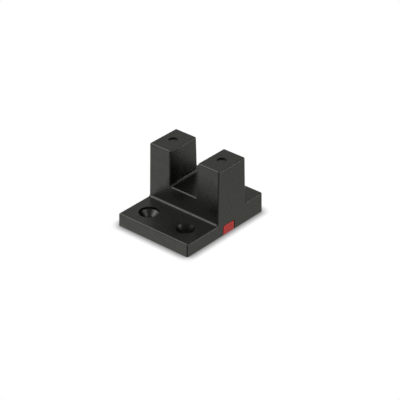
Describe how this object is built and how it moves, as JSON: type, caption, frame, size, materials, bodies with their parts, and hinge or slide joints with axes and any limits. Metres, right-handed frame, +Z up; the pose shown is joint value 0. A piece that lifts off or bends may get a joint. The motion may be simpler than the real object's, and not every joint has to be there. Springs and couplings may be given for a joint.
{
  "type": "fork sensor",
  "caption": "Fork-shaped optical sensor with a slot between two arms, a countersunk fixing flange in front, a low rear block with a plug socket and a red indicator window in the side.",
  "frame": {"origin": "middle of the housing's footprint on its underside", "axes": "+Z up, out of the slot; +Y from the fixing flange to the rear socket; +X across the slot from the emitter arm to the receiver arm with the red window"},
  "size_m": [0.026, 0.0328, 0.0212],
  "materials": {
    "black_plastic": "fine matt moulded black plastic that passes infrared",
    "cover_plastic": "fine matt moulded black plastic",
    "red_plastic": "translucent red plastic, satin face",
    "board_laminate": "green solder resist on glass-fibre laminate",
    "emitter_epoxy": "clear blue-tinted epoxy",
    "receiver_epoxy": "dark infrared-passing epoxy",
    "mask_plastic": "thin black opaque plastic",
    "holder_plastic": "natural moulded nylon",
    "package_epoxy": "black moulded package epoxy",
    "capacitor_ceramic": "tan fired ceramic with tinned ends",
    "resistor_ceramic": "dark glazed film on ceramic with tinned ends",
    "lamp_epoxy": "clear epoxy on a pale base",
    "header_plastic": "black glass-filled nylon",
    "tinned_lead": "tinned steel wire",
    "pin_brass": "tinned brass"
  },
  "bodies": {
    "root": {"housing": "black_plastic", "base_cover": "cover_plastic", "indicator_window": "red_plastic", "main_board": "board_laminate", "emitter": "emitter_epoxy", "receiver": "receiver_epoxy", "emitter_mask": "mask_plastic", "receiver_mask": "mask_plastic", "emitter_holder": "holder_plastic", "receiver_holder": "holder_plastic", "signal_chip": "package_epoxy", "output_transistor": "package_epoxy", "protection_diode": "package_epoxy", "surge_diode": "package_epoxy", "supply_capacitor": "capacitor_ceramic", "emitter_resistor": "resistor_ceramic", "indicator_resistor": "resistor_ceramic", "output_resistor": "resistor_ceramic", "indicator_led": "lamp_epoxy", "connector_header": "header_plastic", "emitter_anode_lead": "tinned_lead", "emitter_cathode_lead": "tinned_lead", "receiver_supply_lead": "tinned_lead", "receiver_output_lead": "tinned_lead", "receiver_ground_lead": "tinned_lead", "supply_pin": "pin_brass", "output_pin": "pin_brass", "control_pin": "pin_brass", "ground_pin": "pin_brass"}
  },
  "joints": []
}
